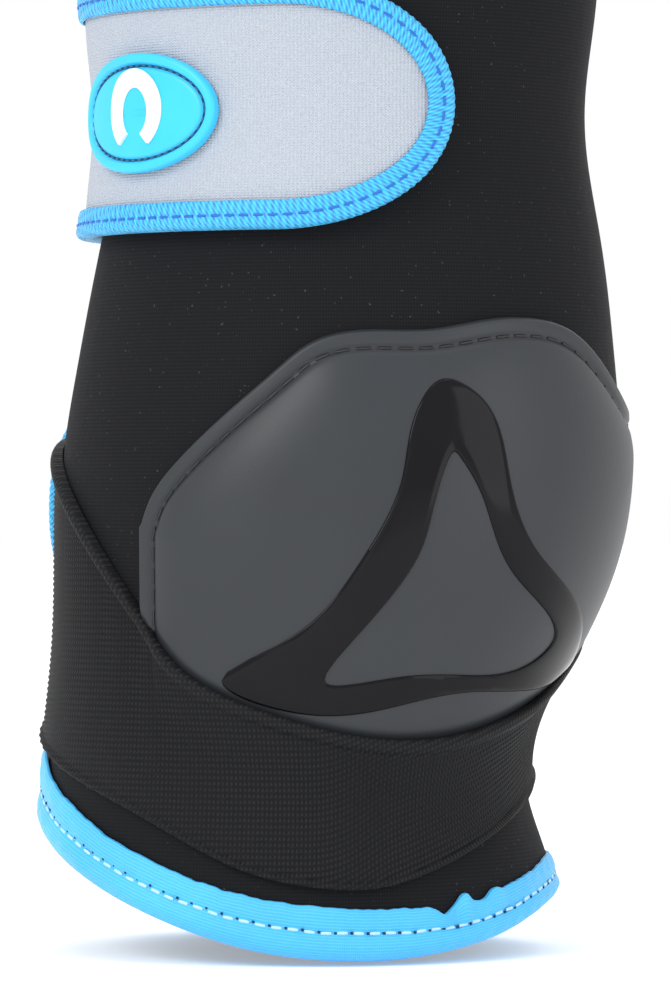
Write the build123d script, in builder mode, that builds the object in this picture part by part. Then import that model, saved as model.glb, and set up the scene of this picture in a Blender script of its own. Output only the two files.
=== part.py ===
"""A horse's tendon and fetlock boot: a neoprene sleeve in two panels that wraps the lower leg.

Three padded straps close the cannon part, a moulded strike pad guards the fetlock, and an elastic
sling runs under the joint and ends in a short strap of its own.

Frame: the origin is the centre of the fetlock joint. +Z runs up the leg, +X points to the back of
the leg, and -Y is the side that carries the strike pad. Angles run round the leg from the back
(0) by the closure side (90) and the front (180) to the pad side (270). Millimetres throughout.

Every layer is the same lofted sleeve, taken at two distances from the neoprene's outer face, and
cut by prisms drawn from the pad side and by sectors drawn from above.
"""

from build123d import *

import math
import os
from functools import lru_cache

# Sleeve: height, front, back and half width of the neoprene's outer face
SLEEVE_SECTIONS = [
    (-104, -55.0, 37.5, 43.5),
    (-80, -54.5, 35.5, 42.5),
    (-60, -54.5, 33.5, 41.5),
    (-44, -53.2, 33.5, 41.0),
    (-30, -51.8, 40.5, 42.0),
    (-12, -51.5, 48.0, 43.5),
    (5, -51.0, 50.0, 43.5),
    (20, -48.6, 49.2, 42.0),
    (45, -43.8, 46.2, 38.8),
    (67, -41.3, 43.4, 36.8),
    (91, -44.0, 46.2, 38.6),
    (116, -42.6, 45.0, 37.8),
    (140, -45.0, 47.4, 39.5),
    (164, -44.0, 46.6, 39.0),
    (186, -46.6, 48.9, 40.8),
    (206, -48.0, 50.3, 41.8),
    (218, -48.6, 51.0, 42.2),
]
LOWEST, HIGHEST = SLEEVE_SECTIONS[0][0], SLEEVE_SECTIONS[-1][0]
REACH = 150  # half the size of every cutting shape
LEG_RADIUS = 48  # turns a length round the leg into an angle
LEG_AXIS = (-2.0, 0.0)  # where every sector has its corner

# Layers, as distances outward from the neoprene's outer face
NEOPRENE = (-5.0, 0.0)
LINING = (-6.2, -5.0)
HEM_WRAP = (-7.2, 1.0)
FRONT_WRAP = (-7.2, 0.1)
STRAP_WRAP = (0.4, 5.0)
STRAP_CORE = (1.2, 4.2)
STRAP_HOOK = (0.4, 1.2)
BADGE_BASE = (5.0, 6.8)
BADGE_EMBLEM = (6.8, 7.3)
ELASTIC = (0.3, 1.5)
SLING_LAP = (1.5, 3.4)
TAB_WRAP = (1.8, 4.0)
TAB_CORE = (2.5, 3.5)
TAB_HOOK = (1.8, 2.5)
PAD_RIM = (0.1, 2.1)
PAD_SHELL = (0.1, 4.0)
PAD_FRAME = (4.0, 4.5)

# Where the sleeve is divided: a seam at the back, and two front edges that meet
SEAM_Y = 22.0
SEAM_GAP = 0.4
CLOSURE_ANGLE = 152.0
CLOSURE_GAP = 2.0
JOINT_GAP = 0.3  # between two pieces that a hinge joins

# Lower and upper edges of the sleeve, as (x, z), and the tapes folded over its edges
HEM = [(-74, -44), (-57, -60), (-50, -70), (-42, -77), (-30, -81), (-12, -83.6), (6, -84.6),
       (20, -84), (30, -81.5), (37, -77), (60, -58)]
TOP_EDGE = [(-80, 207), (-49, 203), (-20, 199.5), (15, 198), (52, 201), (80, 204)]
HEM_TAPE = 9.8
TOP_TAPE = 6.5
FRONT_TAPE = 7.0
TAPE_TURN = 1.0  # how far a tape stands past the edge that it covers

# Cannon straps
STRAP_HEIGHTS = {"lower": 67.3, "middle": 117.3, "upper": 167.3}
STRAP_WIDTH = 46.5
STRAP_TIP_X = 19.0
STRAP_ROUND = 18.0  # the length of the rounded end
STRAP_TAPE = 5.0
STRAP_TURN = 0.8
STRAP_ROOT_ANGLE = 116.0
STRAP_PEEL_ANGLE = 250.0
HOOK_MARGIN = 7.0

# Badge on the lower strap
BADGE_ANGLE = 218.0
BADGE_WIDTH, BADGE_HEIGHT = 36.0, 22.4
SHOE_RADIUS, SHOE_BAND, SHOE_MOUTH = 5.2, 2.4, 5.0

# Strike pad: its crest and the two outlines of its glossy frame, as (x, z)
PAD_CREST = [(-31, -40), (-34.5, -24), (-35.6, -12.6), (-34, -4), (-28.5, 3.8), (-19.5, 12.6),
             (-11.7, 19.5), (-6, 24), (0.5, 25.9), (15.4, 26.3), (29, 28.5), (38.5, 27), (44, 22),
             (48, 16), (56, 5)]
PAD_RIM_WIDTH = 4.4
PAD_BACK_Y = 4.0  # the pad wraps past the back as far as this
FRAME_OUTER = [(19.6, 17.3), (25.6, 12), (28.5, 1), (33.6, -12.6), (42.8, -26.5), (40, -34.5),
               (22.7, -37.3), (-9.3, -40.6), (-21.6, -35), (-11.7, -28.8), (2.2, -14.9),
               (10, 0.5), (12.6, 12)]
FRAME_INNER = [(19.7, 4.5), (23.8, -2.4), (29.9, -16.9), (37.2, -28.5), (33.9, -31.8),
               (10.5, -34.3), (-3.6, -34.8), (1, -28.4), (13.5, -11.4), (16.6, 0)]

# Sling: its two edges as (x, z) under the leg's axis, and how they climb across the leg
SLING_TOP = [(-75, 22), (-51, 4.4), (-38, -9.3), (-27.3, -19.2), (-13.5, -25), (-4, -28.2),
             (9, -31.8), (17, -33), (24, -33), (33.7, -31.4), (40, -30), (60, -26)]
SLING_BOTTOM = [(-75, -44), (-53, -45.9), (-36.4, -49.5), (-18.5, -56.5), (-4, -59.4), (6, -60),
                (15, -58.6), (24, -56.3), (34, -53.5), (60, -48)]
SLING_TOP_CLIMB = 0.37
SLING_BOTTOM_CLIMB = 0.27

# The sling's own strap on the closure side, along a straight line from its root to its tip
TAB_ROOT, TAB_FRONT = (15.0, -32.0), (-56.0, -4.0)
TAB_WIDTH = 36.0
TAB_TAPE = 4.5
TAB_TURN = 0.8
TAB_TIP_Y = -2.0
TAB_PEEL_ANGLE = 68.0
TAB_LAP = 7.0  # the length sewn down on the elastic

# Hinges: the sleeve's back seam folds about this line, and every strap about its outer face
WRAP_HINGE = (45.5, 23.0)
HINGE_CLEARANCE = 0.3


def turn_of(length):
    """The angle that a length takes up round the leg."""
    return math.degrees(length / LEG_RADIUS)


def section_at(height):
    """Front, back and half width of the neoprene's outer face at a height."""
    for low, high in zip(SLEEVE_SECTIONS, SLEEVE_SECTIONS[1:]):
        if low[0] <= height <= high[0]:
            share = (height - low[0]) / (high[0] - low[0])
            return [a + share * (b - a) for a, b in zip(low[1:], high[1:])]
    raise ValueError(f"no section at {height}")


def radius_at(angle, height, distance):
    """How far a face lies from the leg's axis, along an angle and at a height."""
    front, back, half_width = section_at(height)
    long_axis, short_axis = (back - front) / 2 + distance, half_width + distance
    offset_x = LEG_AXIS[0] - (front + back) / 2
    cosine, sine = math.cos(math.radians(angle)), math.sin(math.radians(angle))
    a = (cosine / long_axis) ** 2 + (sine / short_axis) ** 2
    b = 2 * offset_x * cosine / long_axis ** 2
    c = (offset_x / long_axis) ** 2 - 1
    return (-b + math.sqrt(b * b - 4 * a * c)) / (2 * a)


def point_at(angle, radius):
    """The point (x, y) at an angle and a distance from the leg's axis."""
    turn = math.radians(angle)
    return LEG_AXIS[0] + radius * math.cos(turn), LEG_AXIS[1] + radius * math.sin(turn)


def hinge_point(angle, low, high, distance):
    """The point (x, y) just outside the widest place of a face between two heights."""
    heights = [low + i * (high - low) / 20 for i in range(21)]
    widest = max(radius_at(angle, height, distance) for height in heights)
    return point_at(angle, widest + HINGE_CLEARANCE)


# Cutting shapes


@lru_cache(maxsize=None)
def sleeve(distance):
    """The solid leg shape whose face lies that far outside the neoprene's outer face."""
    with BuildPart() as body:
        for height, front, back, half_width in SLEEVE_SECTIONS:
            with BuildSketch(Plane.XY.offset(height)):
                with Locations(((front + back) / 2, 0)):
                    Ellipse((back - front) / 2 + distance, half_width + distance)
        loft()
    return body.part


def sector(start, end):
    """Everything between two angles round the leg, less than a full turn."""
    steps = math.ceil((end - start) / 60) + 1
    rim = [point_at(start + i * (end - start) / (steps - 1), 2 * REACH) for i in range(steps)]
    with BuildPart() as wedge:
        with BuildSketch(Plane.XY.offset(LOWEST - 10)):
            with BuildLine():
                Polyline(LEG_AXIS, *rim, close=True)
            make_face()
        extrude(amount=HIGHEST - LOWEST + 20)
    return wedge.part


def slab(low, high):
    """Everything between two heights."""
    with BuildPart() as plate:
        with BuildSketch(Plane.XY.offset(low)):
            Rectangle(2 * REACH, 2 * REACH)
        extrude(amount=high - low)
    return plate.part


def block(x_range, y_range):
    """Everything between two planes each way, at any height."""
    with BuildPart() as box:
        with BuildSketch(Plane.XY.offset(LOWEST - 10)):
            with Locations((sum(x_range) / 2, sum(y_range) / 2)):
                Rectangle(x_range[1] - x_range[0], y_range[1] - y_range[0])
        extrude(amount=HIGHEST - LOWEST + 20)
    return box.part


def seam_side(near):
    """Everything on the pad's side of the back seam, or on the closure's side of it."""
    if near:
        return block((-REACH, REACH), (-REACH, SEAM_Y - SEAM_GAP / 2))
    return block((-REACH, REACH), (SEAM_Y + SEAM_GAP / 2, REACH))


@lru_cache(maxsize=None)
def panel_zone(near, inset=0.0):
    """The plan of the near or the far panel, its front edge set back from the closure."""
    turn = turn_of(CLOSURE_GAP / 2 + inset)
    with BuildPart() as zone:
        if near:
            add(seam_side(True))
            add(sector(60, CLOSURE_ANGLE + turn), mode=Mode.SUBTRACT)
        else:
            add(seam_side(False))
            add(sector(-5, CLOSURE_ANGLE - turn), mode=Mode.INTERSECT)
    return zone.part


def beyond(curve, upward, climb=0.0):
    """Everything above or below an edge curve drawn in the XZ plane.

    The edge may climb across the leg, from the pad side to the closure side.
    """
    far_z = 2 * REACH if upward else -2 * REACH
    with BuildPart() as prism:
        with BuildSketch(Plane.XZ):
            with BuildLine():
                edge = Spline(*curve)
                Polyline(edge @ 1, (curve[-1][0], far_z), (curve[0][0], far_z), edge @ 0)
            make_face()
        extrude(amount=REACH / 2, dir=(0, 1, climb), both=True)
    return prism.part


def between(lower, upper, lower_climb=0.0, upper_climb=0.0):
    """Everything between two edge curves."""
    with BuildPart() as prism:
        add(beyond(lower, True, lower_climb))
        add(beyond(upper, False, upper_climb), mode=Mode.INTERSECT)
    return prism.part


def moved(curve, amount):
    """An edge curve moved along its normal, upwards for a positive amount."""
    result = []
    for i, (x, z) in enumerate(curve):
        before, after = curve[max(i - 1, 0)], curve[min(i + 1, len(curve) - 1)]
        run, rise = after[0] - before[0], after[1] - before[1]
        length = math.hypot(run, rise)
        result.append((x - amount * rise / length, z + amount * run / length))
    return result


def outline(points):
    """A closed smooth outline in the XZ plane, carried out on the pad side only."""
    with BuildPart() as prism:
        with BuildSketch(Plane.XZ):
            with BuildLine():
                Spline(*points, periodic=True)
            make_face()
        extrude(amount=REACH)
    return prism.part


def layer_piece(layer, zones, less=()):
    """A layer of the sleeve, kept where all the zones are and taken away where the others are."""
    inner, outer = layer
    with BuildPart() as piece:
        add(zones[0])
        for zone in zones[1:]:
            add(zone, mode=Mode.INTERSECT)
        add(sleeve(outer), mode=Mode.INTERSECT)
        add(sleeve(inner), mode=Mode.SUBTRACT)
        for other in less:
            add(other, mode=Mode.SUBTRACT)
    return piece.part


# The sleeve and the tapes over its edges


@lru_cache(maxsize=None)
def panel_height():
    """The neoprene's height: the sleeve's, less the turn of the tapes."""
    return between(moved(HEM, TAPE_TURN), moved(TOP_EDGE, -TAPE_TURN))


@lru_cache(maxsize=None)
def covered(near):
    """The neoprene and lining that a tape wraps."""
    return layer_piece((LINING[0], NEOPRENE[1]), [panel_height(), panel_zone(near)])


def panel(near):
    return layer_piece(NEOPRENE, [panel_height(), panel_zone(near)])


def lining(near):
    return layer_piece(LINING, [panel_height(), panel_zone(near)])


def hem_tape(near):
    """The folded stretch tape over the lower edge."""
    band = between(HEM, moved(HEM, HEM_TAPE))
    return layer_piece(HEM_WRAP, [band, panel_zone(near)], less=[covered(near)])


def top_tape(near):
    """The folded tape over the upper edge."""
    band = between(moved(TOP_EDGE, -TOP_TAPE), TOP_EDGE)
    return layer_piece(HEM_WRAP, [band, panel_zone(near)], less=[covered(near)])


def front_tape(near):
    """The folded tape down a front edge, from the hem's tape to the top's."""
    run = between(moved(HEM, HEM_TAPE), moved(TOP_EDGE, -TOP_TAPE))
    lip, width = turn_of(CLOSURE_GAP / 2 - TAPE_TURN / 2), turn_of(FRONT_TAPE)
    if near:
        strip = sector(CLOSURE_ANGLE + lip, CLOSURE_ANGLE + width)
    else:
        strip = sector(CLOSURE_ANGLE - width, CLOSURE_ANGLE - lip)
    return layer_piece(FRONT_WRAP, [run, strip], less=[covered(near)])


# The cannon straps


def strap_band(centre, inset=0.0):
    """The full height of a strap, less an inset at both edges."""
    return slab(centre - STRAP_WIDTH / 2 + inset, centre + STRAP_WIDTH / 2 - inset)


def strap_end(centre, inset=0.0):
    """The outline of a strap's rounded free end, on the pad side."""
    half_width = STRAP_WIDTH / 2 - inset
    round_x = STRAP_TIP_X - STRAP_ROUND
    with BuildPart() as prism:
        with BuildSketch(Plane.XZ):
            with Locations((round_x - REACH / 2, centre)):
                Rectangle(REACH, 2 * half_width)
            with Locations((round_x, centre)):
                Ellipse(STRAP_ROUND - inset, half_width)
        extrude(amount=REACH)
    return prism.part


def strap_stretch(start, end, shape, centre):
    """The core and the edge tape of one stretch of a strap, given the shape of its edges."""
    sides = sector(start, end)
    core = layer_piece(STRAP_CORE, [shape(centre, STRAP_TURN), sides])
    tape = layer_piece(STRAP_WRAP, [shape(centre), sides], less=[shape(centre, STRAP_TAPE), core])
    return core, tape


def strap_pieces(name, centre):
    """Every piece of one strap, by node, from its sewn root to its free end."""
    half_gap = turn_of(JOINT_GAP / 2)
    root = strap_stretch(STRAP_ROOT_ANGLE, CLOSURE_ANGLE - half_gap, strap_band, centre)
    arm = strap_stretch(CLOSURE_ANGLE + half_gap, STRAP_PEEL_ANGLE - half_gap, strap_band, centre)
    tab = strap_stretch(STRAP_PEEL_ANGLE + half_gap, 330, strap_end, centre)
    hook_zone = [strap_end(centre, HOOK_MARGIN), sector(STRAP_PEEL_ANGLE + turn_of(3), 330)]
    return {
        f"{name}_strap_root": root[0],
        f"{name}_strap_root_binding": root[1],
        f"{name}_strap": arm[0],
        f"{name}_strap_binding": arm[1],
        f"{name}_strap_tab": tab[0],
        f"{name}_strap_tab_binding": tab[1],
        f"{name}_strap_hook_patch": layer_piece(STRAP_HOOK, hook_zone),
    }


# The badge on the lower strap


def badge_plane():
    """A plane that faces outward from the middle of the badge."""
    height = STRAP_HEIGHTS["lower"]
    x, y = point_at(BADGE_ANGLE, radius_at(BADGE_ANGLE, height, 0))
    outward = (math.cos(math.radians(BADGE_ANGLE)), math.sin(math.radians(BADGE_ANGLE)), 0)
    return Plane(origin=(x, y, height), x_dir=(-outward[1], outward[0], 0), z_dir=outward)


def badge_base():
    """The oval moulded rubber plate."""
    with BuildPart() as oval:
        with BuildSketch(badge_plane()):
            Ellipse(BADGE_WIDTH / 2, BADGE_HEIGHT / 2)
        extrude(amount=REACH / 6, both=True)
    return layer_piece(BADGE_BASE, [oval.part])


def badge_emblem():
    """A plain raised horseshoe, open downwards."""
    outer, inner = SHOE_RADIUS + SHOE_BAND / 2, SHOE_RADIUS - SHOE_BAND / 2
    with BuildPart() as shoe:
        with BuildSketch(badge_plane()):
            Circle(outer)
            Circle(inner, mode=Mode.SUBTRACT)
            with Locations((0, -outer)):
                Rectangle(SHOE_MOUTH, 2 * outer, mode=Mode.SUBTRACT)
        extrude(amount=REACH / 6, both=True)
    return layer_piece(BADGE_EMBLEM, [shoe.part])


# The strike pad


@lru_cache(maxsize=None)
def above_sling():
    """Everything above the sling's upper edge, which the pad stops short of."""
    return beyond(moved(SLING_TOP, JOINT_GAP), True, SLING_TOP_CLIMB)


@lru_cache(maxsize=None)
def pad_plan():
    """The pad's plan: all of the pad side, and round the back to its far edge."""
    with BuildPart() as plan:
        add(block((-REACH, REACH), (-REACH, 0)))
        add(block((0, REACH), (-1, PAD_BACK_Y)))
    return plan.part


def under_crest(inset=0.0):
    """Everything under the pad's crest, set in from it."""
    crest = moved(PAD_CREST, -inset) if inset else PAD_CREST
    return beyond(crest, False)


def strike_pad():
    """The moulded pad: a thin sewn rim round a thick shell."""
    with BuildPart() as pad:
        add(layer_piece(PAD_RIM, [under_crest(), pad_plan(), above_sling()]))
        add(layer_piece(PAD_SHELL, [under_crest(PAD_RIM_WIDTH), pad_plan(), above_sling()]))
    return pad.part


def strike_pad_frame():
    """The raised glossy three-sided frame."""
    return layer_piece(PAD_FRAME, [outline(FRAME_OUTER), above_sling()],
                       less=[outline(FRAME_INNER)])


# The sling


@lru_cache(maxsize=None)
def sling_band():
    """The elastic's height, which climbs round the back from the pad side to the closure."""
    return between(SLING_BOTTOM, SLING_TOP, SLING_BOTTOM_CLIMB, SLING_TOP_CLIMB)


def sling_near():
    """The wide elastic that cradles the joint on the pad side, from the front to the seam."""
    return layer_piece(ELASTIC, [sling_band(), panel_zone(True, FRONT_TAPE)])


def sling_far():
    """The elastic past the seam, with the start of the sling's own strap sewn on."""
    peel = TAB_PEEL_ANGLE - turn_of(JOINT_GAP / 2)
    with BuildPart() as elastic:
        add(layer_piece(ELASTIC, [sling_band(), seam_side(False), sector(-5, peel)]))
        add(layer_piece(SLING_LAP, [sling_band(), tab_band(TAB_TAPE),
                                    sector(peel - turn_of(TAB_LAP), peel)]))
    return elastic.part


def tab_line(across):
    """The ends of a line along the sling's strap, that far above its middle."""
    run, rise = TAB_FRONT[0] - TAB_ROOT[0], TAB_FRONT[1] - TAB_ROOT[1]
    length = math.hypot(run, rise)
    shift_x, shift_z = across * rise / length, -across * run / length
    past = 40 / length
    start = (TAB_ROOT[0] - past * run + shift_x, TAB_ROOT[1] - past * rise + shift_z)
    end = (TAB_FRONT[0] + past * run + shift_x, TAB_FRONT[1] + past * rise + shift_z)
    return start, end


def tab_band(inset=0.0):
    """The straight band of the sling's strap, less an inset at both edges."""
    low, high = tab_line(-TAB_WIDTH / 2 + inset), tab_line(TAB_WIDTH / 2 - inset)
    with BuildPart() as prism:
        with BuildSketch(Plane.XZ):
            with BuildLine():
                Polyline(low[0], low[1], high[1], high[0], close=True)
            make_face()
        extrude(amount=REACH, both=True)
    return prism.part


def tab_end(inset=0.0):
    """The rounded outline of the strap's end, seen from the front."""
    half_width = TAB_WIDTH / 2 - inset
    round_y = TAB_TIP_Y + TAB_WIDTH / 2
    with BuildPart() as prism:
        with BuildSketch(Plane.YZ):
            with Locations((round_y + REACH / 2, TAB_FRONT[1])):
                Rectangle(REACH, 2 * REACH)
            with Locations((round_y, TAB_FRONT[1])):
                Ellipse(half_width, half_width)
        extrude(amount=REACH, both=True)
    return prism.part


def tab_shape(inset=0.0):
    """The whole outline of the sling's strap, from where it peels to its tip."""
    with BuildPart() as zone:
        add(tab_band(inset))
        add(tab_end(inset), mode=Mode.INTERSECT)
        add(sector(TAB_PEEL_ANGLE + turn_of(JOINT_GAP / 2), 200), mode=Mode.INTERSECT)
    return zone.part


def tab_pieces():
    """The core, the edge tape and the hook patch of the sling's own strap."""
    core = layer_piece(TAB_CORE, [tab_shape(TAB_TURN)])
    hook_zone = [tab_shape(HOOK_MARGIN), sector(CLOSURE_ANGLE + 6, 200)]
    return {
        "sling_tab": core,
        "sling_tab_binding": layer_piece(TAB_WRAP, [tab_shape()], less=[tab_shape(TAB_TAPE), core]),
        "sling_tab_hook_patch": layer_piece(TAB_HOOK, hook_zone),
    }


def keep(name, piece):
    """Labels a piece, writes it as its own STEP file and prints its size."""
    piece.label = name
    export_step(piece, f"parts/{name}.step")
    size = piece.bounding_box().size
    print(f"{name}: {size.X:.1f} x {size.Y:.1f} x {size.Z:.1f}, {len(piece.solids())} solid(s)")


def print_hinges():
    """Prints every hinge line, for the record."""
    print("wrap hinge", WRAP_HINGE)
    for name, centre in STRAP_HEIGHTS.items():
        low, high = centre - STRAP_WIDTH / 2, centre + STRAP_WIDTH / 2
        for what, angle in (("base", CLOSURE_ANGLE), ("tab", STRAP_PEEL_ANGLE)):
            x, y = hinge_point(angle, low, high, STRAP_WRAP[1])
            print(f"{name} strap {what} hinge {x:.2f} {y:.2f} at {centre}")
    low, high = TAB_ROOT[1] - TAB_WIDTH / 2, TAB_ROOT[1] + TAB_WIDTH / 2
    x, y = hinge_point(TAB_PEEL_ANGLE, low, high, TAB_WRAP[1])
    print(f"sling tab hinge {x:.2f} {y:.2f} at {TAB_ROOT[1]}")


def main():
    os.makedirs("parts", exist_ok=True)
    for near, side in ((True, "near"), (False, "far")):
        keep(f"{side}_panel", panel(near))
        keep(f"{side}_lining", lining(near))
        keep(f"hem_binding_{side}", hem_tape(near))
        keep(f"top_binding_{side}", top_tape(near))
        keep(f"front_binding_{side}", front_tape(near))
    for name, centre in STRAP_HEIGHTS.items():
        for node, piece in strap_pieces(name, centre).items():
            keep(node, piece)
    keep("badge", badge_base())
    keep("badge_emblem", badge_emblem())
    keep("strike_pad", strike_pad())
    keep("strike_pad_frame", strike_pad_frame())
    keep("sling_near", sling_near())
    keep("sling_far", sling_far())
    for node, piece in tab_pieces().items():
        keep(node, piece)
    print_hinges()


main()
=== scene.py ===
import math

import bmesh
import bpy
import numpy as np
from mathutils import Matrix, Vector
from mathutils.bvhtree import BVHTree


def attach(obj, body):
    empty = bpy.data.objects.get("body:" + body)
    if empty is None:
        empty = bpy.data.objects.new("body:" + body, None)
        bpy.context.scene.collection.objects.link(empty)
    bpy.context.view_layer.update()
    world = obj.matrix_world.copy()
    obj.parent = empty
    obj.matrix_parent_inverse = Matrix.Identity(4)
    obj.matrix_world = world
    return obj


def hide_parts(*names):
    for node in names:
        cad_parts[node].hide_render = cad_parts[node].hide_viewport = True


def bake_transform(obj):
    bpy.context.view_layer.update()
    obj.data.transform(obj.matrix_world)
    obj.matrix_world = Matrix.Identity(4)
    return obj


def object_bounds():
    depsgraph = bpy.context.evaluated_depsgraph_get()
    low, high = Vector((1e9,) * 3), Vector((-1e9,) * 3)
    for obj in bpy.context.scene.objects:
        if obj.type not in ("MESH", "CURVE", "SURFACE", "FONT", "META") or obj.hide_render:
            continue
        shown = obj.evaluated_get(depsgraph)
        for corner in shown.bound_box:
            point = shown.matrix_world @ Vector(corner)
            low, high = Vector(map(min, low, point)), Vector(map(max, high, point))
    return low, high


# The looks of a horse's tendon boot, built round its CAD frame. Lengths here are in millimetres,
# and MM turns them into metres where a mesh is made. A place on the boot is an angle round the
# leg (0 at the back, 180 at the front, 270 on the pad side), a height, and a distance outward
# from the neoprene's outer face.

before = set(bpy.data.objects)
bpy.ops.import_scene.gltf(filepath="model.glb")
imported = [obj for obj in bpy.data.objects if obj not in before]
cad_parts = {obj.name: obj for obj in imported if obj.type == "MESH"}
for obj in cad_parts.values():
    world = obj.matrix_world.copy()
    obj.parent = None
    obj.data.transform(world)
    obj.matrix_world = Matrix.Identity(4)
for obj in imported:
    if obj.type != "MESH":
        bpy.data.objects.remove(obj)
cad_low, cad_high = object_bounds()

MM = 0.001
LEG_AXIS = (-2.0, 0.0)
DEGREE = 0.8  # about how long a degree is round the boot

# Edges between the pieces, as angles round the leg
CLOSURE = 152.0  # where the two front edges meet
CLOSURE_GAP = 1.2  # each side, in degrees
SEAM = 27.0  # the seam at the back, between the near and the far panel
FULL_TURN = 360.0

# Layers
NEOPRENE_INNER = -5.0
LINING_INNER = -6.2


# ------------ measuring the frame


def node_tree(*names):
    """A ray-casting tree over some CAD nodes."""
    points, faces = [], []
    for name in names:
        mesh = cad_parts[name].data
        first = len(points)
        points += [v.co.copy() for v in mesh.vertices]
        faces += [[first + i for i in p.vertices] for p in mesh.polygons]
    return BVHTree.FromPolygons(points, faces)


def cast(tree, start, direction):
    """Where a ray first meets the nodes, in millimetres, or None."""
    hit = tree.ray_cast(Vector(start) * MM, Vector(direction))[0]
    return None if hit is None else np.array(hit) / MM


def smooth(values, times=1):
    """Values with every inner one averaged with its neighbours."""
    values = np.array(values, float)
    for _ in range(times):
        values[1:-1] = (values[:-2] + 2 * values[1:-1] + values[2:]) / 4
    return values


def measure_sleeve():
    """Heights, and the front, back and half width of the neoprene's face at each of them."""
    tree = node_tree("near_panel")
    low, high = cad_low[2] / MM, cad_high[2] / MM
    found = {"front": [], "back": [], "half": []}
    for height in np.arange(low + 1, high, 4.0):
        rays = {
            "front": ((-200, 0, height), (1, 0, 0), 0),
            "back": ((200, 0, height), (-1, 0, 0), 0),
            "half": ((-2, -200, height), (0, 1, 0), 1),
        }
        for name, (start, direction, axis) in rays.items():
            point = cast(tree, start, direction)
            # below the hem a ray runs on through the opening to the other wall's inner face
            if point is not None and point[axis] * start[axis] > 0:
                found[name].append((height, point[axis] * (-1 if name == "half" else 1)))
    table = np.arange(low - 10, high + 10, 1.0)
    columns = []
    for name in ("front", "back", "half"):
        heights, values = np.array(found[name]).T
        columns.append(smooth(np.interp(table, heights[2:-2], values[2:-2]), 24))
    return table, *columns


SLEEVE_TABLE = measure_sleeve()


def radius(angle, height, distance=0.0):
    """How far the face lies from the leg's axis. All three may be arrays."""
    table, *columns = SLEEVE_TABLE
    front, back, half = (np.interp(height, table, column) for column in columns)
    long_axis, short_axis = (back - front) / 2 + distance, half + distance
    offset = LEG_AXIS[0] - (front + back) / 2
    turn = np.radians(angle)
    a = (np.cos(turn) / long_axis) ** 2 + (np.sin(turn) / short_axis) ** 2
    b = 2 * offset * np.cos(turn) / long_axis ** 2
    c = (offset / long_axis) ** 2 - 1
    return (-b + np.sqrt(b * b - 4 * a * c)) / (2 * a)


def surface(angle, height, distance=0.0):
    """Points on the boot, as an array whose last axis is x, y, z."""
    angle, height, distance = np.broadcast_arrays(
        np.asarray(angle, float), np.asarray(height, float), np.asarray(distance, float))
    r = radius(angle, height, distance)
    turn = np.radians(angle)
    return np.stack([LEG_AXIS[0] + r * np.cos(turn), LEG_AXIS[1] + r * np.sin(turn), height], -1)


def present(tree, angle, height, deepest=2.0):
    """Whether some CAD nodes cover a place on the boot."""
    outside = surface(angle, height, 30.0)
    inward = surface(angle, height, 0.0) - outside
    length = np.linalg.norm(inward)
    hit = tree.ray_cast(Vector(outside) * MM, Vector(inward / length), (length + deepest) * MM)
    return hit[0] is not None


def edge_between(tree, inside, outside):
    """The place where some nodes end, between two places (angle, height)."""
    inside, outside = np.array(inside, float), np.array(outside, float)
    for _ in range(12):
        middle = (inside + outside) / 2
        if present(tree, *middle):
            inside = middle
        else:
            outside = middle
    return (inside + outside) / 2


def edge_heights(tree, angles, inside, outside):
    """The height of an edge at each angle. The two limits may be numbers or arrays."""
    inside = np.broadcast_to(inside, angles.shape)
    outside = np.broadcast_to(outside, angles.shape)
    found = [edge_between(tree, (a, i), (a, o))[1] for a, i, o in zip(angles, inside, outside)]
    return np.array(found)


def edge_curve(tree, angles, inside, outside, rounds=2):
    """A smooth function from an angle to an edge's height."""
    heights = smooth(edge_heights(tree, angles, inside, outside), rounds)
    return lambda angle: np.interp(angle, angles, heights)


SLEEVE_TREE = node_tree("near_panel", "far_panel", "hem_binding_near", "hem_binding_far",
                        "top_binding_near", "top_binding_far")

# The hem and the upper edge of its tape, as (angle, height) from the front to the back. The cloth's
# edge is drawn up a little from the CAD's lower edge, and both sides of the leg are alike.
HEM_LINE = [(180, -62), (195, -66.6), (206, -70.2), (218, -74.2), (235, -79.2), (251, -82.7),
            (269, -84.2), (285, -84.3), (302, -83), (319, -80.7), (337, -77), (360, -74.5)]
TAPE_LINE = [(180, -46.5), (192, -53), (204, -57.8), (215, -62.4), (230, -68), (247, -72.4),
             (262, -74.4), (280, -75), (300, -75), (318, -72.5), (337, -69), (360, -66.9)]


def folded_line(line):
    """A smooth function from an angle to a height, the same on both sides of the leg."""
    angles = np.arange(180.0, 360.01, 1.0)
    whole = np.interp(angles, *zip(*line))
    both = smooth(np.concatenate([whole[:0:-1], whole, whole[-2::-1]]), 60)
    heights = both[len(whole) - 1:2 * len(whole) - 1]
    return lambda angle: np.interp(180.0 + np.abs((np.asarray(angle) % FULL_TURN) - 180.0), angles, heights)


hem_edge, tape_edge = folded_line(HEM_LINE), folded_line(TAPE_LINE)
# The upper edge is measured away from the seam and the closure
TOP_ANGLES = np.array([a for a in np.arange(0, 401, 2.0) if min(abs(a - b) for b in (25, 152, 385)) > 5])
top_edge = edge_curve(SLEEVE_TREE, TOP_ANGLES, 150, 214, 3)

SLING_TREE = node_tree("sling_near")
SLING_START, SLING_END = 162.0, 384.0


def sling_middle(angle):
    """A height inside the near sling at any of its angles."""
    return np.interp(angle, [160, 190, 226, 270, 300, 330, 385], [-16, -26, -46, -58, -57, -50, -36])


SLING_ANGLES = np.arange(SLING_START, SLING_END, 2.0)
sling_low, sling_top = (edge_curve(SLING_TREE, SLING_ANGLES, sling_middle(SLING_ANGLES), outside)
                        for outside in (-95, 60))


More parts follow.
